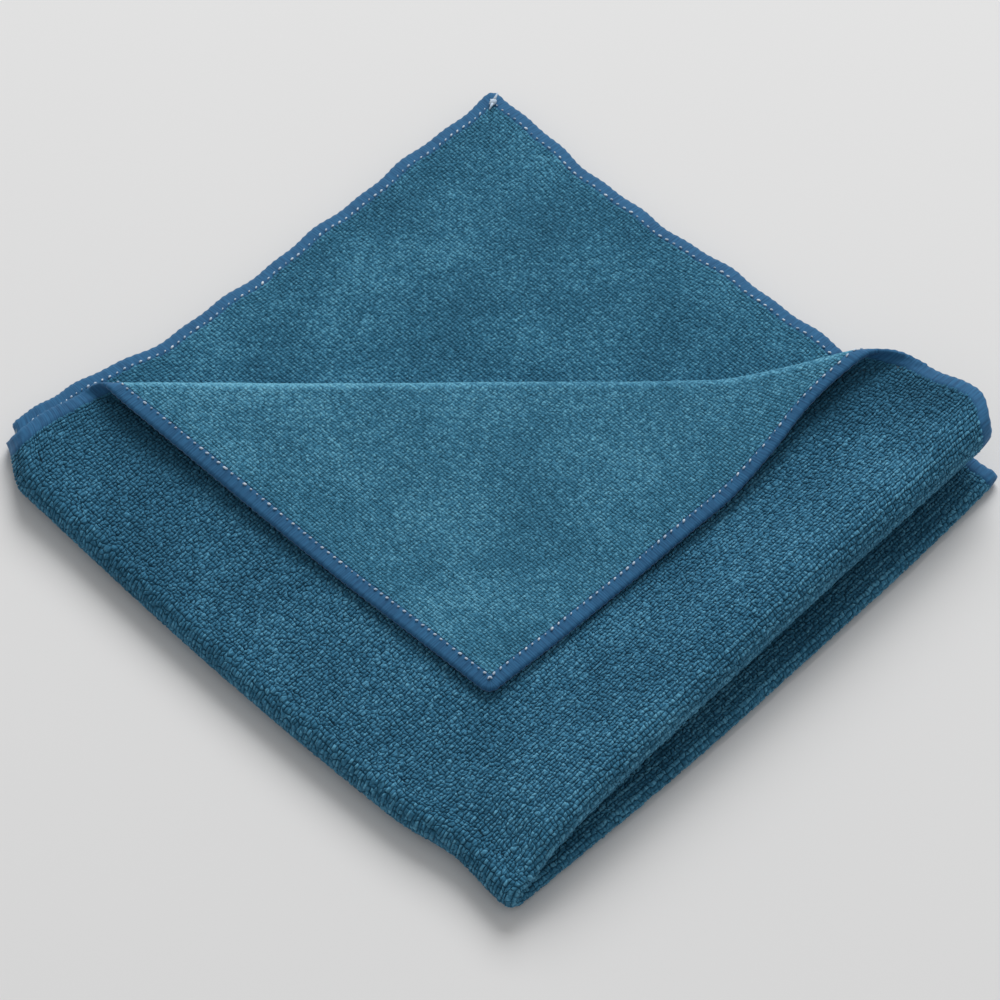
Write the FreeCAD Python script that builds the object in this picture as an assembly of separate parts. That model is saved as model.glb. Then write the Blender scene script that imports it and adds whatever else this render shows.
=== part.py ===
import FreeCAD, Part
import math
import os

# A square polishing cloth, quartered: folded in half towards the front-right
# edge, folded in half again towards the front-left edge, and the free corner of
# its top layer turned back.  Millimetres.  The folded square lies in x and y
# with its front corner, where both folds meet, at (0, 0).  Everything is moved
# at the end so that the origin is the middle of the face it rests on.

Vector = FreeCAD.Vector

# ---- driving dimensions ----
SIDE = 200.0             # side of the folded square, half of the open cloth's
CLOTH = 2.4              # thickness of the cloth, pile on both faces
GAP = 0.35               # air between one layer and the next
HEM = 5.5                # width of the overlocked edge
CREASE_SETBACK = 38.0    # from each neighbouring corner to the turned-back crease
CREASE_RADIUS = 3.5      # of the cloth's middle as it rolls over the crease
LOBE_RADIUS = 6.5        # outside of the open, puffed end of the upper front fold
LOBE_LIFT = 5.5          # how far that end stands off the layer below
LIFT_REACH = 35.0        # how far in from the front edge the lift dies away
LIFT_STATION = 80.0      # along the edge, where the lift is nearly whole
LIFT_SHARE = 0.85        # share of the lift reached there
THREAD_RADIUS = 0.6      # of the knotted end of the edge's sewing thread
THREAD_LENGTH = 5.0

# ---- what follows from them ----
PITCH = CLOTH + GAP
PAIR = CLOTH + PITCH                 # thickness of two layers
PAIR_RADIUS = PAIR / 2               # outside of a fold that joins two layers
UPPER = 2 * PITCH                    # height of the upper pair's underside
STACK = UPPER + PAIR                 # height of all four layers
MIDDLE = STACK / 2                   # height between the two pairs
FOLD_AT = MIDDLE                     # where the side fold starts to turn
INSIDE = SIDE - HEM                  # where the hems begin
CREASE_OUTSIDE = CREASE_RADIUS + CLOTH / 2
ACROSS = Vector(1, 1, 0).normalize() # from the front corner to the back one
ALONG = Vector(-1, 1, 0).normalize() # along the crease, from right to left
CREASE_REACH = (CREASE_SETBACK + SIDE) / math.sqrt(2)
ROLL_START = CREASE_REACH - CREASE_OUTSIDE
HINGE_REACH = ROLL_START + math.pi * CREASE_RADIUS / 2
FLAP_TIP = 2 * HINGE_REACH - SIDE * math.sqrt(2)
LEVELS = {"bottom": 0.0, "lower_inner": PITCH, "upper_inner": UPPER, "top": UPPER + PITCH}


def section(u, points):
    """A closed outline across the front edge, at u along it."""
    corners = [Vector(u, v, z) for v, z in points]
    return Part.makePolygon(corners + corners[:1])


def ring_section(u, centre_v, centre_z, outer):
    """Half of a ring, bulging towards the front edge, at u along it."""
    inner = outer - CLOTH
    arcs = []
    for radius in (outer, inner):
        low = Vector(u, centre_v, centre_z - radius)
        front = Vector(u, centre_v - radius, centre_z)
        high = Vector(u, centre_v, centre_z + radius)
        arcs.append((low, Part.Arc(low, front, high).toShape(), high))
    (low_out, arc_out, high_out), (low_in, arc_in, high_in) = arcs
    joins = [Part.makeLine(high_out, high_in), Part.makeLine(low_in, low_out)]
    return Part.Wire(Part.__sortEdges__([arc_out, joins[0], arc_in, joins[1]]))


def lift_at(u):
    """Share of the front fold's lift at u along the edge."""
    if u <= LIFT_STATION:
        return LIFT_SHARE * (u - FOLD_AT) / (LIFT_STATION - FOLD_AT)
    return LIFT_SHARE + (1 - LIFT_SHARE) * (u - LIFT_STATION) / (SIDE - LIFT_STATION)


def upper_fold(u):
    """Underside height and outer radius of the upper front fold at u."""
    share = lift_at(u)
    return UPPER + LOBE_LIFT * share, PAIR_RADIUS + (LOBE_RADIUS - PAIR_RADIUS) * share


def upper_inner_section(u, back):
    under, radius = upper_fold(u)
    return section(u, [
        (radius, under), (LIFT_REACH, UPPER), (back, UPPER),
        (back, UPPER + CLOTH), (LIFT_REACH, UPPER + CLOTH), (radius, under + CLOTH),
    ])


def top_section(u, back):
    under, radius = upper_fold(u)
    high = under + 2 * radius
    return section(u, [
        (radius, high - CLOTH), (LIFT_REACH, STACK - CLOTH), (back, STACK - CLOTH),
        (back, STACK), (LIFT_REACH, STACK), (radius, high),
    ])


def upper_ring_section(u):
    under, radius = upper_fold(u)
    return ring_section(u, radius, under + radius, radius)


def loft(make, stations, *rest):
    return Part.makeLoft([make(u, *rest) for u in stations], True, True)


def slab(level, u0, u1, v0, v1):
    """One flat layer of cloth between two places along each edge."""
    return Part.makeBox(u1 - u0, v1 - v0, CLOTH, Vector(u0, v0, level))


def turned(shape_face):
    """A face standing at FOLD_AT swept half a turn round the side fold."""
    return shape_face.revolve(Vector(FOLD_AT, 0, MIDDLE), Vector(0, -1, 0), 180)


def side_fold(level, v0, v1):
    """A layer of the upper pair carried round the side fold to the lower pair."""
    corners = [(v0, level), (v1, level), (v1, level + CLOTH), (v0, level + CLOTH)]
    return turned(Part.Face(section(FOLD_AT, corners)))


def beyond(reach):
    """All space further across than this from the front corner."""
    size = 2 * SIDE
    block = Part.makeBox(size, 2 * size, size, Vector(0, -size, -size / 2))
    block.rotate(Vector(0, 0, 0), Vector(0, 0, 1), 45)
    block.translate(ACROSS * reach)
    return block


def crease_roll():
    """The cloth rolled back over the crease, out to the edges of the square."""
    middle = STACK - CLOTH / 2 + CREASE_RADIUS
    start = ACROSS * ROLL_START + Vector(0, 0, middle) - ALONG * SIDE
    arcs = []
    for radius in (CREASE_OUTSIDE, CREASE_OUTSIDE - CLOTH):
        low = start - Vector(0, 0, radius)
        high = start + Vector(0, 0, radius)
        arcs.append((low, Part.Arc(low, start + ACROSS * radius, high).toShape(), high))
    (low_out, arc_out, high_out), (low_in, arc_in, high_in) = arcs
    joins = [Part.makeLine(high_out, high_in), Part.makeLine(low_in, low_out)]
    wire = Part.Wire(Part.__sortEdges__([arc_out, joins[0], arc_in, joins[1]]))
    roll = Part.Face(wire).extrude(ALONG * (2 * SIDE))
    return roll.common(Part.makeBox(SIDE, SIDE, 2 * SIDE))


def flap_slab():
    """The turned-back corner as one sloping layer, before its outline is cut."""
    near = STACK - CLOTH / 2 + 2 * CREASE_RADIUS
    far = STACK + GAP + CLOTH / 2
    side = ALONG * SIDE
    corners = []
    for reach, height in (
        (ROLL_START, near - CLOTH / 2), (ROLL_START, near + CLOTH / 2),
        (FLAP_TIP, far + CLOTH / 2), (FLAP_TIP, far - CLOTH / 2),
    ):
        corners.append(ACROSS * reach + Vector(0, 0, height) - side)
    return Part.Face(Part.makePolygon(corners + corners[:1])).extrude(side * 2)


def column(u0, u1, v0, v1):
    """A tall block that cuts an outline out of a layer."""
    return Part.makeBox(u1 - u0, v1 - v0, 4 * STACK, Vector(u0, v0, -STACK))


def build():
    nodes = {}
    flat = LEVELS
    flank = [FOLD_AT, LIFT_STATION, INSIDE]
    edge = [INSIDE, SIDE]
    turned_corner = beyond(ROLL_START)

    # lower pair: two flat layers joined along the front-right edge
    for name, level in (("bottom", flat["bottom"]), ("lower_inner", flat["lower_inner"])):
        nodes[name + "_panel"] = slab(level, FOLD_AT, INSIDE, PAIR_RADIUS, INSIDE)
        nodes[name + "_back_hem"] = slab(level, FOLD_AT, SIDE, INSIDE, SIDE)
    lower_ring = [PAIR_RADIUS, PAIR_RADIUS, PAIR_RADIUS]
    nodes["lower_front_fold"] = loft(ring_section, [FOLD_AT, INSIDE], *lower_ring)
    nodes["lower_right_hem"] = loft(ring_section, edge, *lower_ring).multiFuse([
        slab(flat["bottom"], INSIDE, SIDE, PAIR_RADIUS, INSIDE),
        slab(flat["lower_inner"], INSIDE, SIDE, PAIR_RADIUS, INSIDE),
    ])

    # upper pair: the same, with its front edge puffed open towards the right
    nodes["upper_inner_panel"] = loft(upper_inner_section, flank, INSIDE)
    nodes["upper_inner_back_hem"] = slab(flat["upper_inner"], FOLD_AT, SIDE, INSIDE, SIDE)
    nodes["top_panel"] = loft(top_section, flank, INSIDE).cut(turned_corner)
    nodes["top_back_hem"] = slab(flat["top"], FOLD_AT, SIDE, INSIDE, SIDE).cut(turned_corner)
    nodes["upper_front_fold"] = loft(upper_ring_section, flank)
    nodes["upper_right_hem"] = loft(upper_ring_section, edge).multiFuse([
        loft(upper_inner_section, edge, INSIDE),
        loft(top_section, edge, INSIDE).cut(turned_corner),
    ])

    # side fold: joins the upper pair to the lower one round the front-left edge
    nose = Part.Face(ring_section(FOLD_AT, PAIR_RADIUS, UPPER + PAIR_RADIUS, PAIR_RADIUS))
    nodes["front_corner_fold"] = turned(nose)
    for name, level in (("outer", flat["top"]), ("inner", flat["upper_inner"])):
        nodes[name + "_side_fold"] = side_fold(level, PAIR_RADIUS, INSIDE)
        nodes[name + "_side_hem"] = side_fold(level, INSIDE, SIDE)

    # turned-back corner
    roll = crease_roll()
    nodes["crease_roll"] = roll.common(column(0, INSIDE, 0, INSIDE))
    nodes["crease_left_hem"] = roll.common(column(0, INSIDE, INSIDE, SIDE))
    nodes["crease_right_hem"] = roll.common(column(INSIDE, SIDE, 0, INSIDE))
    tip = FLAP_TIP / math.sqrt(2)
    flap = flap_slab()
    nodes["flap_panel"] = flap.common(column(tip + HEM, SIDE, tip + HEM, SIDE))
    nodes["flap_left_hem"] = flap.common(column(tip, tip + HEM, tip, SIDE))
    nodes["flap_right_hem"] = flap.common(column(tip + HEM, SIDE, tip, tip + HEM))

    # knotted end of the sewing thread, on the back corner of the upper pair
    knot = Part.makeCylinder(THREAD_RADIUS, THREAD_LENGTH)
    knot.rotate(Vector(0, 0, 0), ALONG, 90)
    knot.translate(ACROSS * ((SIDE - HEM) * math.sqrt(2)))
    knot.translate(Vector(0, 0, UPPER + CLOTH + THREAD_RADIUS))
    nodes["thread_knot"] = knot
    return nodes


def main():
    os.makedirs("parts", exist_ok=True)
    for name, shape in build().items():
        shape = shape.removeSplitter()
        shape.translate(Vector(-SIDE / 2, -SIDE / 2, 0))
        if len(shape.Solids) != 1 or not shape.isValid():
            raise RuntimeError(f"{name}: {len(shape.Solids)} solids, valid {shape.isValid()}")
        shape.Solids[0].exportStep(f"parts/{name}.step")
        box = shape.BoundBox
        print(f"{name:22s} volume {shape.Volume:9.1f}  z {box.ZMin:6.2f} to {box.ZMax:6.2f}")
    print("side fold hinge", round(FOLD_AT, 3), "crease hinge reach", round(HINGE_REACH, 3))


main()
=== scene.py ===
# %% [markdown]
# # A quartered polishing cloth
#
# One square of blue microfibre plush, 400 mm a side, is folded in half twice and
# the free corner of its top layer is turned back. It has long loops on one face,
# short fine loops on the other, and an overlocked edge with a pale needle thread.
#
# A cloth could be draped by simulation, but a pressed fold is too crisp for one. So
# everything here is made on the OPEN cloth, where it is easy, and one function then
# folds whatever it is given: the ground cloth, the loops, the hem and the stitches.

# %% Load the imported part
import math

import bmesh
import bpy
import numpy as np
from mathutils import Matrix, Vector


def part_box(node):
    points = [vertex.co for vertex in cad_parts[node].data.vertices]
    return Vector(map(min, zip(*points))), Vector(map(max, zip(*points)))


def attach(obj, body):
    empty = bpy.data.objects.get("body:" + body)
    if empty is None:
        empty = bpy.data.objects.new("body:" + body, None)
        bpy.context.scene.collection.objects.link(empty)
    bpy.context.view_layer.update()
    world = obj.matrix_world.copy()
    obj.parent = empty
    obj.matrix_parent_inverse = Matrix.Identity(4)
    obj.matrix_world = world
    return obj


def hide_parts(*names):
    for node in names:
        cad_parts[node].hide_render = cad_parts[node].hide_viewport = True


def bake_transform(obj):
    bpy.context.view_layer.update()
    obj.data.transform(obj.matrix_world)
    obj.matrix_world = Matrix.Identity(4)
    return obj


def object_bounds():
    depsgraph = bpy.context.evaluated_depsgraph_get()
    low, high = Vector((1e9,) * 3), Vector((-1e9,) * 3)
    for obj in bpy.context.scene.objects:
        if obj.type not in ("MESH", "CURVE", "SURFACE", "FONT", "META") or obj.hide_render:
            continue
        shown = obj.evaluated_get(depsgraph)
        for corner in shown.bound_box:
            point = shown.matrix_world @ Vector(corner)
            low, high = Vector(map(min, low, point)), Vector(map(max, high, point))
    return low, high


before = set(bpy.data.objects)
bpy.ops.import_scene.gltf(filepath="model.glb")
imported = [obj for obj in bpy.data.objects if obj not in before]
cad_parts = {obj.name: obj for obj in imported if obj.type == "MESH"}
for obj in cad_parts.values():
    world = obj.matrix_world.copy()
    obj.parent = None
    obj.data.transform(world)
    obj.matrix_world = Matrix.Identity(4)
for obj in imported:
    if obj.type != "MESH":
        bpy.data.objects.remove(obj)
cad_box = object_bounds()

# %% [markdown]
# ## Measures
#
# The script works in millimetres and turns them into metres at the very end. The
# folded square has its front corner, where both folds meet, at u = v = 0: u runs
# along the front-right edge and v along the front-left one. Heights and the folded
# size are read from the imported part, so the looks always fit the design.

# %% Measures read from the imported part
MM = 0.001
FRONT_CORNER = cad_box[0] / MM
SIDE = (cad_box[1].x - cad_box[0].x) / MM


def heights(node):
    """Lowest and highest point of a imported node, in millimetres."""
    low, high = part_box(node)
    return low.z / MM, high.z / MM


HALF = (heights("bottom_panel")[1] - heights("bottom_panel")[0]) / 2
PITCH = heights("lower_inner_panel")[0] - heights("bottom_panel")[0]
LOBE_TOP = heights("upper_front_fold")[1]
STACK = 3 * PITCH + 2 * HALF
MIDDLE = STACK / 2                 # height between the two pairs of layers
RING = PITCH / 2                   # radius of the cloth's middle round the first fold
SIDE_ARC = PITCH * math.pi / 2     # cloth used by a quarter of the side fold
print("stack", round(STACK, 2), "side", round(SIDE, 1), "lobe top", round(LOBE_TOP, 2))

# %% Measures of the soft shape
PUFF = 3.9            # how much wider the upper front fold opens than a pressed one
SET_BACK = 2.2        # how far the opened fold sits behind the lower pair's edge
LIFT = LOBE_TOP - HALF - (MIDDLE + PITCH) - (RING + PUFF)
TOP_REACH = 37.0      # the top layer comes down to the stack this far behind its fold
UNDER_REACH = 32.0    # and the layer under it this far
CREASE = 161.5        # from the front corner, square to the crease, to where it rolls
CREASE_BULGE = 6.5    # the crease swings out this much at its right-hand end
SHOULDER = -60.0      # along the crease, where its right-hand end begins to stand up
SHOULDER_SLOPE = 0.14 # and how steeply it rises from there
ROLL_OUT_SLOPE = 0.20 # steeper still, so that end rolls out above most of the layers below
CREASE_RADIUS = 3.3   # of the cloth's middle as it rolls over the crease
FLAP_SHRINK = 0.928   # the turned corner is rumpled, so it reaches less far
FLAP_SETTLES = 70.0   # the turned corner comes down on the top layer over this reach
SEAT = 2 * HALF + 0.35
ROOT2 = math.sqrt(2)

# %% [markdown]
# ## Folding
#
# `place` takes points of the open cloth: p and q from its middle, and h, how far the
# point stands off the cloth's middle surface towards the plush face. It wraps them
# round the first fold, then round the side fold, then rolls the corner back, and
# last lets the edges bow as they do on a cloth that was folded by hand.

# %% Small shape helpers
def ease(x):
    """0 below 0, 1 above 1, and a smooth rise between."""
    x = np.clip(x, 0.0, 1.0)
    return x * x * (3 - 2 * x)


def bump(x, width):
    """1 at x = 0, fading to 0 at width on both sides."""
    return 1 - ease(np.abs(x) / width)


def opening(u):
    """Share of the upper front fold's puff at u along the front edge."""
    t = np.maximum(u - MIDDLE, 0) / 100
    return 1.12 * t / (t + 0.22) * ease(t * 6 + 0.15)


def top_lift(u, v):
    """How far the top layer stands above its pressed height."""
    share = opening(u)
    behind = v - (RING + HALF + share * (PUFF + SET_BACK))
    reach = TOP_REACH + 15 * ease((u - 150) / 50)
    lobe = share * (LIFT + PUFF) * (1 - ease(behind / reach))
    shoulder = SHOULDER_SLOPE * np.maximum(SHOULDER - (v - u) / ROOT2, 0)
    soft = 0.8
    return (lobe + shoulder + np.sqrt((lobe - shoulder) ** 2 + soft * soft) - soft) / 2


def crease_start(s):
    """Where the corner starts to roll, at s along the crease from right to left."""
    return CREASE + CREASE_BULGE * ease((-s - 62) / 46)


# %% How far the right-hand edges swell
SWELL = 5.6           # the upper layers' edge, beside the open fold
NOSE_IN = 1.6         # but the very nose of the fold draws back
WAIST = 5.0           # and the top layer's edge draws in behind the swelling
UNDER_WAIST = 1.0     # the layer under it draws in less
LOWER_OUT = 1.5       # the lower pair's edge stands out towards the front


# %% The two folds
def fold_twice(p, q, h):
    """The quartered cloth before its corner is turned: u, v and z in millimetres."""
    reach = np.abs(p)
    along = np.abs(q)
    share = np.where(p < 0, opening(reach + MIDDLE - SIDE_ARC), 0)
    ring = RING + share * PUFF
    centre = RING + HALF + share * (PUFF + SET_BACK)
    turn = np.clip(along / ring, 0, math.pi / 2)
    flat = np.maximum(along - ring * math.pi / 2, 0)
    v = centre - (ring + h) * np.cos(turn) + flat
    side = np.where(q > 0, 1.0, -1.0)
    settled = np.where(
        q > 0,
        (LIFT + PUFF) * ease(flat / TOP_REACH),
        (LIFT - PUFF) * ease(flat / UNDER_REACH),
    )
    w = side * (ring + h) * np.sin(turn) + share * (LIFT - settled)
    bend = np.clip(reach / PITCH, 0, math.pi / 2)
    u = MIDDLE - (PITCH + w) * np.cos(bend) + np.maximum(reach - SIDE_ARC, 0)
    arch = share * (LIFT + PUFF) * (1 - ease(flat / TOP_REACH))
    w = w + np.where((p < 0) & (q > 0), (top_lift(u, v) - arch) * ease(flat / 12), 0)
    z = MIDDLE - np.sign(p) * (PITCH + w) * np.sin(bend)
    return u, v, z


def edge_pull(p, q, u, v):
    """The right-hand edges: the top layer's swells out beside its lobe."""
    right = ease((u - 100) / 100)
    swell = SWELL * ease((v - 1) / 14) * (1 - ease((v - 28) / 26))
    nose = NOSE_IN * (1 - ease((v - 3) / 9))
    beside = swell - nose - WAIST * ease((v - 42) / 34)
    under = swell * (1 - ease((v - 4) / 12)) - nose - UNDER_WAIST * ease((v - 6) / 10)
    upper = np.where(q > 0, beside, under)
    return right * np.where(p < 0, upper, -LOWER_OUT * (1 - ease(v / 30)))


def past_crease(p, q):
    """How far beyond the start of the crease a point lies; below 0 is before it."""
    u, v, _ = fold_twice(p, q, np.zeros_like(p))
    u = u + edge_pull(p, q, u, v)
    beyond = (u + v) / ROOT2 - crease_start((v - u) / ROOT2)
    return np.where((p < 0) & (q > 0), beyond, -SIDE)


# %% The turned corner
def turn_corner(u, v, z, h, beyond):
    """Rolls what lies beyond the crease back over the top layer."""
    s = (v - u) / ROOT2
    roll = np.clip(beyond / CREASE_RADIUS, 0, math.pi)
    flat = np.maximum(beyond - math.pi * CREASE_RADIUS, 0)
    across = crease_start(s) + (CREASE_RADIUS - h) * np.sin(roll) - flat * FLAP_SHRINK
    s = s + 1.1 * flat / 110
    new_u = (across - s) / ROOT2
    new_v = (across + s) / ROOT2
    top = MIDDLE + PITCH + RING + top_lift(new_u, new_v)
    sunk = (2 * CREASE_RADIUS - SEAT) * ease(flat / FLAP_SETTLES)
    ruffle = 0.5 * np.sin(flat / 13 + s / 21) * ease(flat / 30)
    new_z = top + CREASE_RADIUS - (CREASE_RADIUS - h) * np.cos(roll) - sunk
    new_z = new_z + np.maximum(ruffle, 0)
    turned = beyond > 0
    return (
        np.where(turned, new_u, u),
        np.where(turned, new_v, v),
        np.where(turned, new_z, z),
    )


# %% The bows of the edges
FRONT_BOW = 3.8       # the lower pair's front-right edge bows out
FRONT_END = 2.6       # and more so at its right-hand end
LEFT_BOW = 3.2        # the front-left edge bows out
LEFT_DENT = 2.2       # but is pinched near the front corner
BOTTOM_IN = 4.4       # at the left corner the bottom layer is tucked in
INSIDE_IN = 5.4       # and the inner layers more
TUCKED = (7.2, 9.5)   # the left corner's outer and inner layers are drawn in
RAISED = 1.6          # the left corner of the upper layers stands up
BACK_OUT = 1.5        # the back corner stands out
RIGHT_DENT = 2.2      # and the back-right edge is hollow
RIPPLE = 0.35         # the upper layers never lie quite flat
HEM_WAVE = 0.45       # hems wander a little


def relax(p, q, u, v, z):
    """Lets the pressed edges bow and the corners bulge."""
    lower = p > 0
    front = FRONT_BOW * np.sin(math.pi * u / SIDE) + FRONT_END * ease((u - 100) / 100)
    new_v = v - np.where(lower, front, 0) * (1 - ease(v / 60))
    left = LEFT_BOW * np.sin(math.pi * v / SIDE) - LEFT_DENT * bump(v - 22, 20)
    new_u = u - left * (1 - ease(u / 50))
    new_v = new_v + 5.0 * (1 - ease(u / 95)) * ease((v - 150) / 50)
    high = ease(z / STACK)
    bottom = BOTTOM_IN * (1 - ease((u - 14) / 30)) * (1 - high)
    top = -(0.6 + 2.2 * ease((u - 20) / 18)) * (1 - ease((u - 60) / 40)) * high
    inner = INSIDE_IN * (1 - ease((u - 22) / 46))
    new_v = new_v + np.where(q > 0, bottom + top, inner) * ease((v - 172) / 28)
    tucked = np.where(q > 0, *TUCKED)
    new_u = new_u + tucked * ease((v - 186) / 14) * (1 - ease(u / 45))
    right = BACK_OUT * ease((v - 180) / 20) - RIGHT_DENT * bump(v - 140, 55)
    new_u = new_u + right * ease((u - 140) / 60)
    ripple = RIPPLE + RIPPLE * np.sin(u / 17 + 1.3 * np.sin(v / 29)) * np.sin(v / 21 + 0.6)
    new_z = z + np.where(p < -SIDE_ARC, ripple * ease((u - 12) / 30), 0)
    raised = RAISED * ease((v - 165) / 35) * (1 - ease((u - 22) / 26)) * ease((z - 3) / 6)
    new_z = new_z + np.where(q > 0, raised, 0)
    wave = HEM_WAVE * np.sin(q / 5.9) + 0.3 * np.sin(q / 2.7 + 1)
    new_u = new_u + wave * ease((np.abs(p) - 170) / 30) * np.where(u > 150, 1, 0.3)
    wave = HEM_WAVE * np.sin(p / 6.3 + 2) + 0.3 * np.sin(p / 2.9)
    new_v = new_v + wave * ease((np.abs(q) - 170) / 30) * np.where(v > 150, 1, 0.3)
    return new_u, new_v, new_z


def place(p, q, h):
    """Where points of the open cloth come to rest, in metres, in the part's frame."""
    u, v, z = fold_twice(p, q, h)
    u = u + edge_pull(p, q, u, v)
    u, v, z = turn_corner(u, v, z, h, past_crease(p, q))
    u, v, z = relax(p, q, u, v, z)
    points = np.stack([u + FRONT_CORNER.x, v + FRONT_CORNER.y, z], axis=1)
    return points * MM


# %% [markdown]
# ## From flat to folded
#
# A piece is modelled flat in a bmesh, with x and y on the open cloth and the plush
# face DOWN. `lay` keeps those flat places as an attribute, so that weave and thread
# follow the cloth into every fold, and then moves each vertex to its folded place.

# %% Turn a flat bmesh into a folded object
def lay(name, bm, spread=None):
    """The finished object of a flat bmesh; spread gives open-cloth places if x, y aren't."""
    mesh = bpy.data.meshes.new(name)
    bm.to_mesh(mesh)
    bm.free()
    flat = np.zeros(len(mesh.vertices) * 3)
    mesh.vertices.foreach_get("co", flat)
    flat = flat.reshape(-1, 3)
    open_place = mesh.attributes.new("open_place", "FLOAT_VECTOR", "POINT")
    open_place.data.foreach_set("vector", (flat * MM).astype(np.float32).ravel())
    p, q, h = spread(flat) if spread else (flat[:, 0], flat[:, 1], -flat[:, 2])
    mesh.vertices.foreach_set("co", place(p, q, h).astype(np.float32).ravel())
    mesh.polygons.foreach_set("use_smooth", np.ones(len(mesh.polygons), bool))
    mesh.update()
    piece = bpy.data.objects.new(name, mesh)
    bpy.context.scene.collection.objects.link(piece)
    size = [round(x * 1000) for x in piece.dimensions]
    print(f"{name:28s} faces {len(mesh.polygons):7d}  size {size} mm")
    return piece


def flat_grid(p_span, q_span, columns, rows):
    """A flat bmesh grid over a patch of the open cloth."""
    bm = bmesh.new()
    bmesh.ops.create_grid(bm, x_segments=columns, y_segments=rows, size=0.5)
    bmesh.ops.scale(
        bm, verts=bm.verts, vec=(p_span[1] - p_span[0], q_span[1] - q_span[0], 1)
    )
    middle = Vector((sum(p_span) / 2, sum(q_span) / 2, 0))
    bmesh.ops.translate(bm, verts=bm.verts, vec=middle)
    return bm


def keep_where(bm, wanted):
    """Deletes the faces whose middles aren't wanted."""
    faces = bm.faces[:]
    middles = np.array([f.calc_center_median() for f in faces])
    kept = wanted(middles[:, 0], middles[:, 1])
    dropped = [f for f, k in zip(faces, kept) if not k]
    bmesh.ops.delete(bm, geom=dropped, context="FACES")


# %% [markdown]
# ## The ground cloth
#
# Under the loops is a knitted ground, a sheet about a millimetre thick. It is one
# grid whose columns crowd together at the folds, given a thickness while it is still
# flat. The strip round the side fold and the turned corner are separate sheets.

# %% Knit the ground
GROUND = (-0.75, 0.4)     # the ground's two faces; plus is towards the plush face
STRIP = 7.0               # half the width of the strip round the side fold
TRIM = 198.0              # the ground ends here, inside the hem


def crowd(x):
    """Crowds even steps together near 0, where the cloth is folded."""
    x = x / TRIM
    return TRIM * (0.14 * x + 0.86 * x * x * x)


def thicken(bm):
    """Gives a flat sheet the ground's thickness, closed all round."""
    bmesh.ops.translate(bm, verts=bm.verts, vec=(0, 0, -GROUND[1]))
    bmesh.ops.solidify(bm, geom=bm.faces[:], thickness=-(GROUND[1] - GROUND[0]))
    bmesh.ops.recalc_face_normals(bm, faces=bm.faces[:])


def in_strip(p, q):
    """The part of the open cloth that wraps round the side fold's outside."""
    return (np.abs(p) < STRIP) & (q > -SIDE_ARC / 2)


def ground_sheet(name, wanted, steps):
    bm = flat_grid((-TRIM, TRIM), (-TRIM, TRIM), steps, steps)
    for vert in bm.verts:
        vert.co.x = crowd(vert.co.x)
        vert.co.y = crowd(vert.co.y)
    keep_where(bm, wanted)
    thicken(bm)
    return lay(name, bm)


folded_cloth = ground_sheet(
    "folded_cloth",
    lambda p, q: (past_crease(p, q) < 0) & ~in_strip(p, q),
    150,
)

# %% Knit the turned corner
def corner_ground(name, wanted):
    """The ground beyond the crease, in steps fine enough to roll."""
    span = TRIM - 20
    bm = flat_grid((-TRIM, -TRIM + span), (TRIM - span, TRIM), 150, 150)
    keep_where(bm, lambda p, q: (past_crease(p, q) > -1.5) & wanted(p, q))
    thicken(bm)
    return lay(name, bm)


def strip_ground():
    """The ground round the outside of the side fold."""
    bm = flat_grid((-STRIP, STRIP), (-SIDE_ARC / 2, TRIM), 16, 100)
    thicken(bm)
    return lay("side_fold_strip", bm)


def along_crease(p, q):
    """Where a point lies along the crease, from right to left."""
    u, v, _ = fold_twice(p, q, np.zeros_like(p))
    return (v - u) / ROOT2


turned_corner = corner_ground("turned_corner", lambda p, q: along_crease(p, q) >= SHOULDER)
corner_right = corner_ground("turned_corner_right", lambda p, q: along_crease(p, q) < SHOULDER)
side_fold_strip = strip_ground()

# %% [markdown]
# ## The loops
#
# Each loop of pile is a small raised pillow. A grid cell is inset, its middle is
# pulled up, leaned a little and given a tone of its own, so no two loops match; a
# second inset rounds the bold ones off. The plush face has rows along the front edge,
# the other face short fine loops the other way. Loops that stay hidden are coarser.

# %% Grow loops on a patch
RIB = 2.8              # rows of loops bunch into ribs this far apart near the front edge
PLUSH_HEIGHTS = (0.42, 1.2)     # valley and tip of a loop, from the cloth's middle
SHORT_HEIGHTS = (-0.78, -1.2)
TWO_INSETS = ((0.16, 0.55, 0.6), (0.18, 1.0, 1.0))   # share of a cell, height, and tuft, which sets the painted shade of the valleys
ONE_INSET = ((0.22, 1.0, 1.0),)
LEAN = 0.11            # how far a loop leans, as a share of its size
LEFT_PAINTED_SHADE = 0.24    # painted shade: the plush loops are painted darker towards the left
NOOK_PAINTED_SHADOW = 0.6        # and a painted shadow darkens the loops in the nook under the crease's right end


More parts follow.
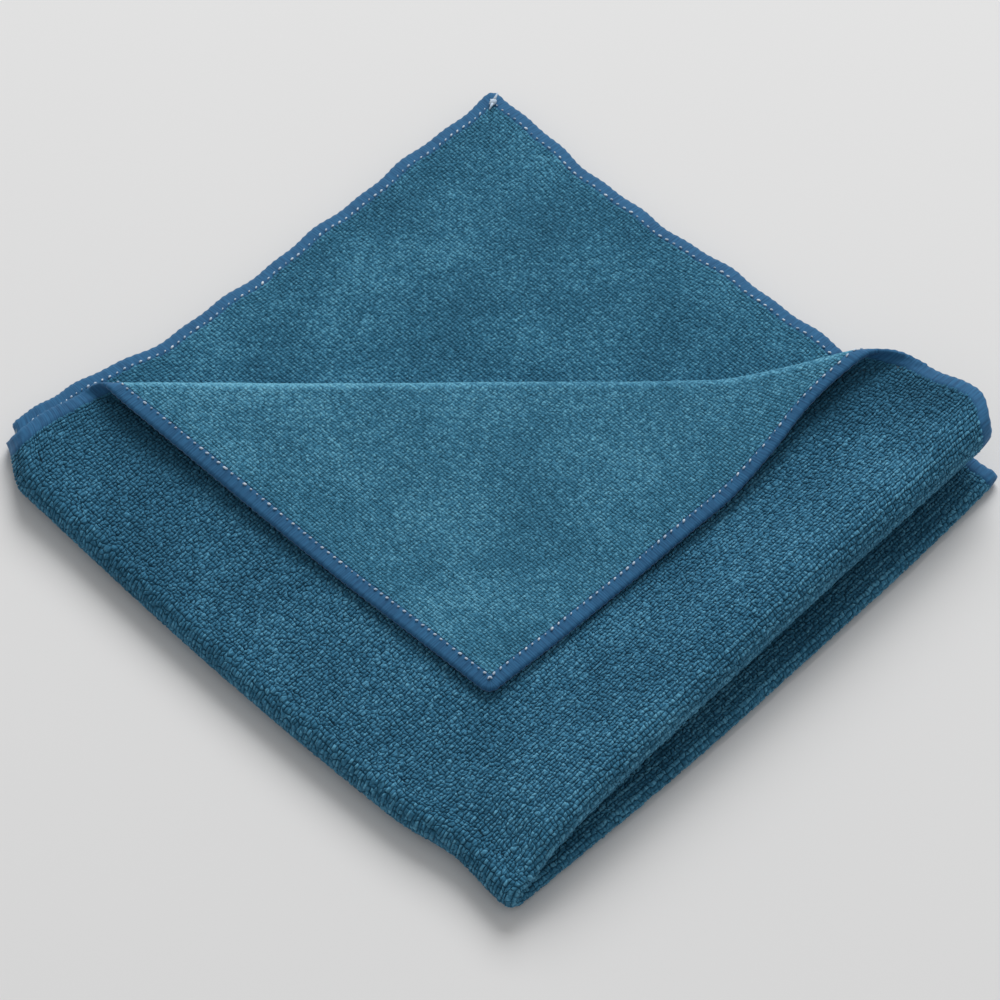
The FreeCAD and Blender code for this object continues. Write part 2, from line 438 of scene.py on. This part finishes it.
def grow_loops(name, p_span, q_span, cell, plush, wanted, seed, rounded=False):
    """Loops over a patch of the open cloth. cell is a loop's size along p and q."""
    rng = np.random.default_rng(seed)
    columns = round((p_span[1] - p_span[0]) / cell[0])
    rows = round((q_span[1] - q_span[0]) / cell[1])
    bm = flat_grid(p_span, q_span, columns, rows)
    valley, tip = PLUSH_HEIGHTS if plush else SHORT_HEIGHTS
    along = 0 if plush else 1
    shift = rng.uniform(-1, 1, (len(bm.verts), 3))
    for vert, (a, b, c) in zip(bm.verts, shift):
        vert.co.x += a * cell[0] * (0.30 if plush else 0.14)
        vert.co.y += b * cell[1] * (0.18 if plush else 0.20)
        vert.co.z = -(valley + c * 0.1)
    cells = bm.faces[:]
    draw = rng.uniform(-1, 1, (len(cells), 4))
    rows_at = np.array([f.calc_center_median().y for f in cells])
    if plush:
        rib = np.sin(2 * math.pi * rows_at / RIB) * (1 - ease(np.abs(rows_at) / 110))
        draw[:, 2:] += rib[:, None] * 0.8
    own = {face: d for face, d in zip(cells, draw)}
    keep_where(bm, wanted)
    cells = bm.faces[:]
    tuft = bm.verts.layers.float.new("tuft")
    tone = bm.verts.layers.float.new("tone")
    # light carries each loop's painted shade or painted highlight to the finish
    light = bm.verts.layers.float.new("light")
    middles = np.array([f.calc_center_median() for f in cells])
    beyond = past_crease(middles[:, 0], middles[:, 1])
    # how strongly the painted highlight along the crease shows: more towards the left
    left = 0.35 + 0.65 * ease((along_crease(middles[:, 0], middles[:, 1]) + 10) / 60)
    if plush:
        # painted shade, darker towards the left
        tone_and_painted_light = -LEFT_PAINTED_SHADE * ease((middles[:, 1] - 90) / 90)
        # painted shadow in the nook under the crease's right end
        from_end = -55 - along_crease(middles[:, 0], middles[:, 1])
        nook = bump(beyond + 8, 20) * ease(from_end / 40)
        tone_and_painted_light = tone_and_painted_light - NOOK_PAINTED_SHADOW * nook
    else:
        # painted highlight: a pale line on the short loops just past the crease
        tone_and_painted_light = left * (0.75 * bump(beyond - 7, 4.5) + 0.15 * bump(beyond - 12, 16))
    painted_light_of = {face: g for face, g in zip(cells, tone_and_painted_light)}
    rings = TWO_INSETS if rounded else ONE_INSET
    for inset, height, high in rings:
        bmesh.ops.inset_individual(bm, faces=cells, thickness=min(cell) * inset, depth=0)
        for face in cells:
            lean_p, lean_q, rise, shade = own[face]
            middle = face.calc_center_median()
            for vert in face.verts:
                vert.co[along] += (vert.co[along] - middle[along]) * 0.15
                vert.co.x += lean_p * cell[0] * LEAN
                vert.co.y += lean_q * cell[1] * LEAN
                vert.co.z = -(valley + (tip - valley) * height * (0.82 + 0.18 * rise))
                vert[tuft] = high
                vert[tone] = 0.5 + 0.5 * shade
                vert[light] = painted_light_of[face]
    if plush:
        bmesh.ops.reverse_faces(bm, faces=bm.faces[:])
    return lay(name, bm)


# %% Which loops and threads belong to which piece
def everywhere(p, q):
    return p < 2 * SIDE


def before_crease(p, q):
    """The top layer and all that doesn't roll over with the turned corner."""
    return past_crease(p, q) < 0


def on_corner(p, q):
    """The turned corner, but for its right-hand end."""
    return (past_crease(p, q) >= 0) & (along_crease(p, q) >= SHOULDER)


def on_corner_right(p, q):
    """The right-hand end, which stands up and rolls out more steeply."""
    return (past_crease(p, q) >= 0) & (along_crease(p, q) < SHOULDER)


# %% The plush face
BOLD = (1.12, 1.05)
COARSE = (1.9, 1.8)
INNER = 195.4          # loops end here, beside the hem
ROWS = (-SIDE_ARC / 2 - 9, 32, 88, INNER)   # the top layer's loops grow in three pieces


plush_top = [
    grow_loops(
        f"plush_top_{number + 1}", (-INNER, -STRIP), ROWS[number:number + 2], BOLD, True,
        before_crease, 31 + number, rounded=True,
    )
    for number in range(3)
]
plush_corner = grow_loops(
    "plush_corner", (-INNER, -STRIP), (30, INNER), BOLD, True,
    on_corner, 11,
)
plush_corner_right = grow_loops(
    "plush_corner_right", (-INNER, -STRIP), (30, INNER), BOLD, True,
    on_corner_right, 11,
)
plush_side_fold = grow_loops(
    "plush_side_fold", (-STRIP, STRIP), (-SIDE_ARC / 2, INNER), (0.9, 1.05), True,
    everywhere, 12, rounded=True,
)
plush_inner_fold = grow_loops(
    "plush_inner_side_fold", (-STRIP, STRIP), (-INNER, -SIDE_ARC / 2), (1.4, 1.6), True,
    everywhere, 20,
)
plush_front_edge = grow_loops(
    "plush_front_edge", (STRIP, INNER), (-14, 9), BOLD, True,
    everywhere, 13, rounded=True,
)
plush_bottom = grow_loops(
    "plush_bottom", (STRIP, INNER), (9, INNER), COARSE, True,
    everywhere, 14,
)
plush_lower_inside = grow_loops(
    "plush_lower_inside", (STRIP, INNER), (-INNER, -14), COARSE, True,
    everywhere, 15,
)
plush_upper_inside = grow_loops(
    "plush_upper_inside", (-INNER, -STRIP), (-INNER, -SIDE_ARC / 2 - 9), COARSE, True,
    everywhere, 16,
)

# %% The short-loop face
FINE = (1.15, 0.95)


def near_back(p, q):
    """The part of the second layer that shows behind the crease."""
    return (np.abs(p) + np.abs(q)) / ROOT2 > CREASE - 12


short_back = grow_loops(
    "short_loops_back", (-INNER, -18), (-INNER, -18), FINE, False, near_back, 17,
)
short_corner = grow_loops(
    "short_loops_corner", (-INNER, -18), (18, INNER), FINE, False,
    lambda p, q: (past_crease(p, q) > -2) & (along_crease(p, q) >= SHOULDER), 18,
)
short_corner_right = grow_loops(
    "short_loops_corner_right", (-INNER, -18), (18, INNER), FINE, False,
    lambda p, q: (past_crease(p, q) > -2) & (along_crease(p, q) < SHOULDER), 18,
)

# %% [markdown]
# ## The overlocked edge
#
# The edge is bound by looper threads that wrap from one face round to the other, and
# held by a needle thread just inside. The band is a grid too: one way along the
# edge of the open cloth, the other way round its C-shaped section. It swells a little
# at every stitch, which gives the edge its fine scallops.

# %% The path of the edge
EDGE = 200.0
CORNER_RADIUS = 3.5     # of the open cloth's corners
STITCH = 2.5            # from one needle stitch to the next
STITCH_LINE = 4.0       # how far inside the edge the needle thread runs
HEM_WIDTH = 5.1         # of the overlocked band
STRAIGHT = 2 * (EDGE - CORNER_RADIUS)
QUARTER = CORNER_RADIUS * math.pi / 2
LAP = 4 * (STRAIGHT + QUARTER)


def edge_path(t, inward):
    """Open-cloth place at t round the edge from the turned corner, and inward from it."""
    t = np.mod(t, LAP)
    side = np.floor(t / (STRAIGHT + QUARTER))
    t = t - side * (STRAIGHT + QUARTER)
    angle = np.maximum(t - STRAIGHT, 0) / CORNER_RADIUS
    radius = CORNER_RADIUS - inward
    x = np.minimum(t, STRAIGHT) - (EDGE - CORNER_RADIUS) + radius * np.sin(angle)
    y = EDGE - CORNER_RADIUS + radius * np.cos(angle)
    turn = -side * math.pi / 2
    return x * np.cos(turn) - y * np.sin(turn), x * np.sin(turn) + y * np.cos(turn)


OUTER_FOLD = EDGE - CORNER_RADIUS          # t where the edge crosses the side fold
INNER_FOLD = OUTER_FOLD + 2 * (STRAIGHT + QUARTER)

# %% Bind the edge
def bind(name, start, end, wanted):
    """The overlocked band between two places along the edge."""
    steps = round((end - start) / 0.4)
    bm = flat_grid((start, end), (0, 1), steps, 13)

    def section(flat):
        t = flat[:, 0]
        round_edge = np.cos(math.pi * flat[:, 1])
        inward = HEM_WIDTH * np.abs(round_edge) ** 1.25
        swell = np.cos(2 * math.pi * (t + 0.25 * inward) / STITCH)
        inward = inward - 0.10 * swell * (1 - ease(inward / 1.5))
        tuck = 1 - 0.45 * ease((inward - 4.4) / 0.7)
        h = 1.12 * np.sign(round_edge) * np.abs(round_edge) ** 0.4 * tuck
        h = h + 0.04 * swell * np.sign(round_edge)
        p, q = edge_path(t, inward)
        return p, q, h

    keep_where(bm, lambda t, c: wanted(*edge_path(t, 0 * t)))
    return lay(name, bm, section)


hem_lower = bind(
    "hem_lower_pair", OUTER_FOLD + STRIP, INNER_FOLD - STRIP, everywhere
)
hem_inner_fold = bind(
    "hem_inner_side_fold", INNER_FOLD - STRIP, INNER_FOLD + STRIP, everywhere
)
hem_upper = bind(
    "hem_upper_pair", INNER_FOLD + STRIP - LAP, OUTER_FOLD - STRIP,
    before_crease,
)
hem_corner = bind(
    "hem_turned_corner", -EDGE, EDGE - STRIP,
    on_corner,
)
hem_corner_right = bind(
    "hem_turned_corner_right", -EDGE, EDGE - STRIP,
    on_corner_right,
)
hem_outer_fold = bind(
    "hem_outer_side_fold", OUTER_FOLD - STRIP, OUTER_FOLD + STRIP, everywhere
)

# %% [markdown]
# ## The needle thread
#
# On the short-loop face the needle thread shows as a row of pale dashes along the
# inside of the band. Each is a stretched icosphere of twenty faces, a little askew
# and not all equally plump, because the loops half bury some of them.

# %% Sew the stitches
STITCH_STANDS = 1.27    # from the cloth's middle to the needle thread


def sew(name, start, end, wanted, seed):
    """Needle stitches between two places along the edge."""
    rng = np.random.default_rng(seed)
    bm = bmesh.new()
    for t in np.arange(start, end, STITCH):
        p, q = edge_path(np.array([t]), np.array([STITCH_LINE]))
        skew, size, drop = rng.uniform(-1, 1, 4)[:3]
        if not wanted(p, q)[0]:
            continue
        ahead = edge_path(np.array([t + 0.5]), np.array([STITCH_LINE]))
        angle = math.atan2(ahead[1][0] - q[0], ahead[0][0] - p[0]) + 0.25 * skew + 0.35
        made = bmesh.ops.create_icosphere(bm, subdivisions=1, radius=1.0)
        plump = 0.78 + 0.3 * size
        shape = (
            Matrix.Translation((p[0], q[0], STITCH_STANDS + 0.1 * drop))
            @ Matrix.Rotation(angle, 4, "Z")
            @ Matrix.Diagonal((0.72 * plump, 0.38 * plump, 0.32, 1))
        )
        bmesh.ops.transform(bm, matrix=shape, verts=made["verts"])
    return lay(name, bm)


stitches_lower = sew(
    "stitches_lower_pair", OUTER_FOLD + STRIP, INNER_FOLD - STRIP, everywhere, 21
)
stitches_upper = sew(
    "stitches_upper_pair", INNER_FOLD + STRIP - LAP, OUTER_FOLD - STRIP,
    before_crease, 22,
)
stitches_corner = sew(
    "stitches_turned_corner", -EDGE, EDGE - STRIP,
    on_corner, 23,
)
stitches_corner_right = sew(
    "stitches_turned_corner_right", -EDGE, EDGE - STRIP,
    on_corner_right, 23,
)

# %% [markdown]
# ## The knotted tail
#
# Where the overlocking began and ended, at the back corner, a few millimetres of
# pale thread are knotted. Two short tapered tails leave a small knot.

# %% Knot the thread
def tie_knot():
    """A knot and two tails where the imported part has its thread."""
    low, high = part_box("thread_knot")
    middle = (low + high) / 2
    length = (high - low).length
    bm = bmesh.new()
    lump = bmesh.ops.create_icosphere(bm, subdivisions=2, radius=length * 0.16)
    bmesh.ops.scale(bm, verts=lump["verts"], vec=(1.3, 1.0, 0.8))
    for turn, tilt in ((20, 14), (205, 6)):
        tail = bmesh.ops.create_cone(
            bm, cap_ends=True, segments=8, radius1=length * 0.09,
            radius2=length * 0.03, depth=length * 0.5,
        )
        stand = (
            Matrix.Rotation(math.radians(turn), 4, "Z")
            @ Matrix.Rotation(math.radians(90 - tilt), 4, "Y")
            @ Matrix.Translation((0, 0, length * 0.3))
        )
        bmesh.ops.transform(bm, matrix=stand, verts=tail["verts"])
    bmesh.ops.translate(bm, verts=bm.verts, vec=middle + Vector((0, 0, 0.0005)))
    mesh = bpy.data.meshes.new("knotted_tail")
    bm.to_mesh(mesh)
    bm.free()
    mesh.polygons.foreach_set("use_smooth", np.ones(len(mesh.polygons), bool))
    piece = bpy.data.objects.new("knotted_tail", mesh)
    bpy.context.scene.collection.objects.link(piece)
    return piece


knotted_tail = tie_knot()

# %% [markdown]
# ## Shader sums in plain Python
#
# `Value` wraps a socket, so `1 - mask * 0.5` adds the Math nodes it needs. Every
# other node comes from `Finish.node`, which sets the node's settings first and then
# fills or links its sockets.

# %% Shader helpers
class Value:
    """A number socket that takes part in Python sums."""

    def __init__(self, finish, socket):
        self.finish = finish
        self.socket = socket

    def join(self, operation, first, second):
        made = self.finish.node("ShaderNodeMath", {"operation": operation}, {0: first, 1: second})
        return self.finish.value(made, 0)

    def __add__(self, other):
        return self.join("ADD", self, other)

    __radd__ = __add__

    def __mul__(self, other):
        return self.join("MULTIPLY", self, other)

    __rmul__ = __mul__

    def __sub__(self, other):
        return self.join("SUBTRACT", self, other)

    def __rsub__(self, other):
        return self.join("SUBTRACT", other, self)


class Finish:
    """A material under construction."""

    def __init__(self, name):
        self.material = bpy.data.materials.new(name)
        self.material.use_nodes = True
        self.tree = self.material.node_tree
        self.tree.nodes.clear()

    def node(self, kind, settings, sockets):
        made = self.tree.nodes.new(kind)
        for key, setting in settings.items():
            setattr(made, key, setting)
        for key, given in sockets.items():
            given = given.socket if isinstance(given, Value) else given
            if isinstance(given, bpy.types.NodeSocket):
                self.tree.links.new(given, made.inputs[key])
            else:
                made.inputs[key].default_value = given
        return made

    def value(self, made, key):
        return Value(self, made.outputs[key])

    def attribute(self, name, key="Fac"):
        made = self.node("ShaderNodeAttribute", {"attribute_name": name}, {})
        return self.value(made, key)

    def noise(self, where, scale, detail=2.0):
        made = self.node(
            "ShaderNodeTexNoise", {}, {"Vector": where, "Scale": scale, "Detail": detail}
        )
        return self.value(made, "Fac")

    def mix(self, share, first, second):
        made = self.node(
            "ShaderNodeMix", {"data_type": "RGBA"}, {0: share, 6: first, 7: second}
        )
        return self.value(made, 2)

    def surface(self, shader):
        self.node("ShaderNodeOutputMaterial", {}, {"Surface": shader.outputs[0]})
        return self.material


# %% [markdown]
# ## Finishes
#
# Microfibre is dull but lively: its fibres catch light at grazing angles, so every
# finish has sheen. The valleys between loops are painted darker than the tips, as
# painted shade. Tone varies from loop to loop and in soft clouds where a hand has
# brushed the pile.

# %% The microfibre finishes
def microfibre(name, valley, tip, bright, sheen):
    """Looped pile: painted shade by loop height, painted light, own tone, clouds and fibres."""
    f = Finish(name)
    where = f.attribute("open_place", "Vector")
    clouds = f.noise(where, 38.0, 3.0)
    fibres = f.noise(where, 1500.0, 3.0)
    rise = f.attribute("tuft")
    tone = f.attribute("tone")
    light = f.attribute("light")
    # painted shade: the lower in a loop, the darker; light adds painted shade and highlights
    lightness = rise * (0.40 + 0.24 * tone) + (clouds - 0.5) * 0.6 + (fibres - 0.5) * 1.3
    body = f.mix(lightness + light * 0.5, valley, tip)
    # the tips take the bright colour by their tone, and the light attribute adds painted shade
    # and painted highlights
    tone_and_painted_light = ((clouds - 0.5) * 1.2 + (tone - 0.5) * 0.6 + (fibres - 0.5) * 2.2) * rise
    colour = f.mix(tone_and_painted_light + light, body, bright)
    relief = f.node(
        "ShaderNodeBump", {}, {"Strength": 0.8, "Distance": 0.0005, "Height": fibres}
    )
    shader = f.node("ShaderNodeBsdfPrincipled", {}, {
        "Base Color": colour,
        "Roughness": 0.88 - 0.12 * tone,
        "Specular IOR Level": 0.15,
        "Sheen Weight": sheen,
        "Sheen Roughness": 0.45,
        "Sheen Tint": (0.35, 0.72, 1.0, 1),
        "Normal": relief.outputs[0],
    })
    return f.surface(shader)


def knit(name, dark, light):
    """The ground cloth between and under the loops."""
    f = Finish(name)
    where = f.attribute("open_place", "Vector")
    rows = f.node(
        "ShaderNodeTexWave", {"bands_direction": "X"},
        {"Vector": where, "Scale": 240.0, "Distortion": 1.2, "Detail": 2.0},
    )
    ribs = f.value(rows, "Fac")
    relief = f.node(
        "ShaderNodeBump", {}, {"Strength": 0.5, "Distance": 0.0003, "Height": ribs}
    )
    shader = f.node("ShaderNodeBsdfPrincipled", {}, {
        "Base Color": f.mix(ribs * 0.6 + f.noise(where, 300.0) * 0.4, dark, light),
        "Roughness": 0.9,
        "Specular IOR Level": 0.15,
        "Sheen Weight": 0.3,
        "Normal": relief.outputs[0],
    })
    return f.surface(shader)


# each finish's valley colour is the painted shade between the loops
plush_finish = microfibre(
    "plush_microfibre", (0.015, 0.085, 0.150, 1), (0.062, 0.27, 0.45, 1),
    (0.14, 0.41, 0.58, 1), 0.3,
)
short_finish = microfibre(
    "short_microfibre", (0.008, 0.065, 0.12, 1), (0.056, 0.265, 0.43, 1),
    (0.13, 0.40, 0.56, 1), 0.3,
)
# a lighter copy of the short-loop finish: painted light on the turned corner
short_finish_painted_lighter = microfibre(
    "short_microfibre_painted_lighter", (0.014, 0.09, 0.155, 1), (0.075, 0.31, 0.49, 1),
    (0.17, 0.47, 0.63, 1), 0.3,
)
ground_finish = knit("ground_knit", (0.010, 0.05, 0.08, 1), (0.03, 0.11, 0.17, 1))

# %% The thread finishes
def overlock(name):
    """Fluffed looper thread: strands across the band, with a fine twist."""
    f = Finish(name)
    where = f.attribute("open_place", "Vector")
    strands = f.node(
        "ShaderNodeTexWave", {"bands_direction": "X", "wave_profile": "SIN"},
        {"Vector": where, "Scale": 420.0, "Distortion": 1.5, "Detail": 2.0, "Detail Scale": 1.5},
    )
    strand = f.value(strands, "Fac")
    clouds = f.noise(where, 60.0, 3.0)
    fuzz = f.noise(where, 1800.0, 2.0)
    lightness = strand * 0.08 + clouds * 0.5 + (fuzz - 0.5) * 1.3 + 0.2
    relief = f.node(
        "ShaderNodeBump", {}, {"Strength": 0.5, "Distance": 0.0003, "Height": strand * 0.2 + fuzz}
    )
    shader = f.node("ShaderNodeBsdfPrincipled", {}, {
        "Base Color": f.mix(lightness, (0.010, 0.058, 0.145, 1), (0.040, 0.18, 0.36, 1)),
        "Roughness": 0.72 + 0.15 * fuzz,
        "Specular IOR Level": 0.2,
        "Sheen Weight": 0.35,
        "Sheen Roughness": 0.4,
        "Sheen Tint": (0.5, 0.7, 1.0, 1),
        "Normal": relief.outputs[0],
    })
    return f.surface(shader)


def pale_thread(name):
    """The needle thread: pale lilac-grey, a little uneven."""
    f = Finish(name)
    where = f.value(f.node("ShaderNodeTexCoord", {}, {}), "Object")
    uneven = f.noise(where, 420.0, 1.0)
    shader = f.node("ShaderNodeBsdfPrincipled", {}, {
        "Base Color": f.mix(uneven * 1.6 - 0.3, (0.22, 0.38, 0.58, 1), (0.78, 0.86, 0.93, 1)),
        "Roughness": 0.6 + 0.2 * uneven,
        "Sheen Weight": 0.2,
    })
    return f.surface(shader)


overlock_finish = overlock("overlock_thread")
needle_finish = pale_thread("needle_thread")

# %% [markdown]
# ## Put the finishes on and tie pieces to the part
#
# Pieces wholly on one body ride on it. The strip round the side fold, what is on it,
# and the turned corner have their placement baked into the mesh.

# %% Finish each piece
PLUSH = [
    *plush_top, plush_corner, plush_corner_right, plush_side_fold,
    plush_inner_fold, plush_front_edge, plush_bottom, plush_lower_inside, plush_upper_inside,
]
SHORT = [short_back]
TURNED = [short_corner, short_corner_right]
GROUNDS = [folded_cloth, turned_corner, corner_right, side_fold_strip]
HEMS = [hem_lower, hem_inner_fold, hem_upper, hem_corner, hem_corner_right, hem_outer_fold]
STITCHES = [stitches_lower, stitches_upper, stitches_corner, stitches_corner_right]
for pieces, finish, slot in (
    (PLUSH, plush_finish, "cloth"),
    (SHORT, short_finish, "cloth"),
    (TURNED, short_finish_painted_lighter, "cloth"),
    (GROUNDS, ground_finish, "cloth"),
    (HEMS, overlock_finish, "hem"),
    (STITCHES + [knotted_tail], needle_finish, "thread"),
):
    for piece in pieces:
        piece.data.materials.append(finish)
    print(f"{finish.name:24s} slot {slot:6s} on {len(pieces)} pieces")

# %% Ride, or bake in place
def folded_point(across, height):
    """A point over the middle of the cloth, across from the front corner."""
    corner = Vector((FRONT_CORNER.x, FRONT_CORNER.y, 0))
    return (corner + Vector((across / ROOT2, across / ROOT2, height))) * MM


def bend_side(piece, low, high):
    """Bakes piece's placement into its mesh."""
    start = folded_point(0, low)
    end = folded_point(0, high)
    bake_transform(piece)


def bend_corner(piece, slope):
    """Bakes piece's placement into its mesh."""
    tilt = 0.07
    rise = (2 * CREASE_RADIUS - 2 * HALF) / (1 + tilt * tilt + slope * slope)
    left = Vector((-1, 1, 0)) / ROOT2 * MM
    start = folded_point(CREASE, STACK) + left * SHOULDER
    end = folded_point(CREASE - tilt * rise, STACK + rise) + left * (SHOULDER + slope * rise)
    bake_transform(piece)


for piece in (plush_front_edge, plush_bottom, plush_lower_inside, hem_lower, stitches_lower):
    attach(piece, "lower_half")
for piece in (
    *plush_top, plush_upper_inside, short_back, hem_upper, stitches_upper,
    knotted_tail,
):
    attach(piece, "upper_half")
for piece in (folded_cloth, plush_inner_fold, hem_inner_fold):
    bend_side(piece, STACK - 2 * PITCH, 2 * PITCH - 0.02)
for piece in (side_fold_strip, plush_side_fold, hem_outer_fold):
    bend_side(piece, 2 * HALF, 3 * PITCH)
for piece in (turned_corner, plush_corner, short_corner, hem_corner, stitches_corner):
    bend_corner(piece, 0)
for piece in (
    corner_right, plush_corner_right, short_corner_right, hem_corner_right,
    stitches_corner_right,
):
    bend_corner(piece, ROLL_OUT_SLOPE)

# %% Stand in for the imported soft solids
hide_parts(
    "bottom_panel", "lower_inner_panel", "lower_front_fold",
    "upper_inner_panel", "top_panel", "upper_front_fold", "inner_side_fold",
)
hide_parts("outer_side_fold", "front_corner_fold")
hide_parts("crease_roll", "flap_panel")
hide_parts("bottom_back_hem", "lower_inner_back_hem", "lower_right_hem")
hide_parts("upper_inner_back_hem", "top_back_hem", "upper_right_hem")
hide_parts("inner_side_hem")
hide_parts("outer_side_hem")
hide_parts("crease_left_hem", "crease_right_hem", "flap_left_hem", "flap_right_hem")
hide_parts("thread_knot")

OPEN_SIDE = 2 * EDGE * MM
corner_leg = (2 * SIDE - ROOT2 * CREASE) * MM
corner_area = corner_leg * corner_leg / 2
strip_area = 2 * STRIP * (TRIM + SIDE_ARC / 2) * MM * MM
OPEN_SIDE * OPEN_SIDE - corner_area - strip_area
(TRIM + SIDE_ARC / 2) * MM

# %% [markdown]
# ## Floor, light and camera
#
# The cloth lies on a plain pale floor in an even, soft studio light that comes a
# little from behind and the right, with a wide sky to fill the folds.

# %% Floor
def make_floor():
    bm = bmesh.new()
    bmesh.ops.create_grid(bm, x_segments=1, y_segments=1, size=4.0)
    mesh = bpy.data.meshes.new("floor")
    bm.to_mesh(mesh)
    bm.free()
    floor = bpy.data.objects.new("floor", mesh)
    bpy.context.scene.collection.objects.link(floor)
    f = Finish("pale_floor")
    where = f.value(f.node("ShaderNodeTexCoord", {}, {}), "Object")
    shade = f.mix(f.noise(where, 3.0), (0.78, 0.78, 0.78, 1), (0.80, 0.80, 0.80, 1))
    shader = f.node("ShaderNodeBsdfPrincipled", {}, {"Base Color": shade, "Roughness": 0.9})
    mesh.materials.append(f.surface(shader))
    return floor


make_floor()

# %% Light
def soft_box(name, azimuth, elevation, distance, size, power):
    """A square soft light that faces the cloth."""
    lamp = bpy.data.lights.new(name, "AREA")
    lamp.size = size
    lamp.energy = power
    box = bpy.data.objects.new(name, lamp)
    a = math.radians(azimuth)
    e = math.radians(elevation)
    toward = Vector((math.sin(a) * math.cos(e), -math.cos(a) * math.cos(e), math.sin(e)))
    box.location = toward * distance
    box.rotation_mode = "QUATERNION"
    box.rotation_quaternion = toward.to_track_quat("Z", "Y")
    bpy.context.scene.collection.objects.link(box)


soft_box("key_light", azimuth=124, elevation=40, distance=3.2, size=1.8, power=84)
world = bpy.data.worlds.new("studio")
world.use_nodes = True
world.node_tree.nodes["Background"].inputs["Color"].default_value = (1, 1, 1, 1)
world.node_tree.nodes["Background"].inputs["Strength"].default_value = 0.41
bpy.context.scene.world = world
bpy.context.scene.view_settings.view_transform = "Standard"

# %% Camera
def set_camera(azimuth, elevation, roll, distance, target, lens):
    """A camera that looks at target from azimuth and elevation, turned by roll."""
    a = math.radians(azimuth)
    e = math.radians(elevation)
    right = Vector((math.cos(a), math.sin(a), 0))
    back = Vector((math.sin(a) * math.cos(e), -math.cos(a) * math.cos(e), math.sin(e)))
    up = back.cross(right)
    c = math.cos(math.radians(roll))
    s = math.sin(math.radians(roll))
    turned_right = right * c + up * s
    turned_up = up * c - right * s
    data = bpy.data.cameras.new("camera")
    data.lens = lens
    data.sensor_width = 36
    camera = bpy.data.objects.new("camera", data)
    axes = Matrix((turned_right, turned_up, back)).transposed()
    camera.rotation_mode = "QUATERNION"
    camera.rotation_quaternion = axes.to_quaternion()
    camera.location = Vector(target) + back * distance
    bpy.context.scene.collection.objects.link(camera)
    bpy.context.scene.camera = camera


set_camera(
    azimuth=-46.88, elevation=54.91, roll=1.12, distance=1.0081,
    target=(-0.0049, -0.0046, 0), lens=127.1,
)

# %% Camera and light count
print("camera and", len(bpy.data.lights), "light")
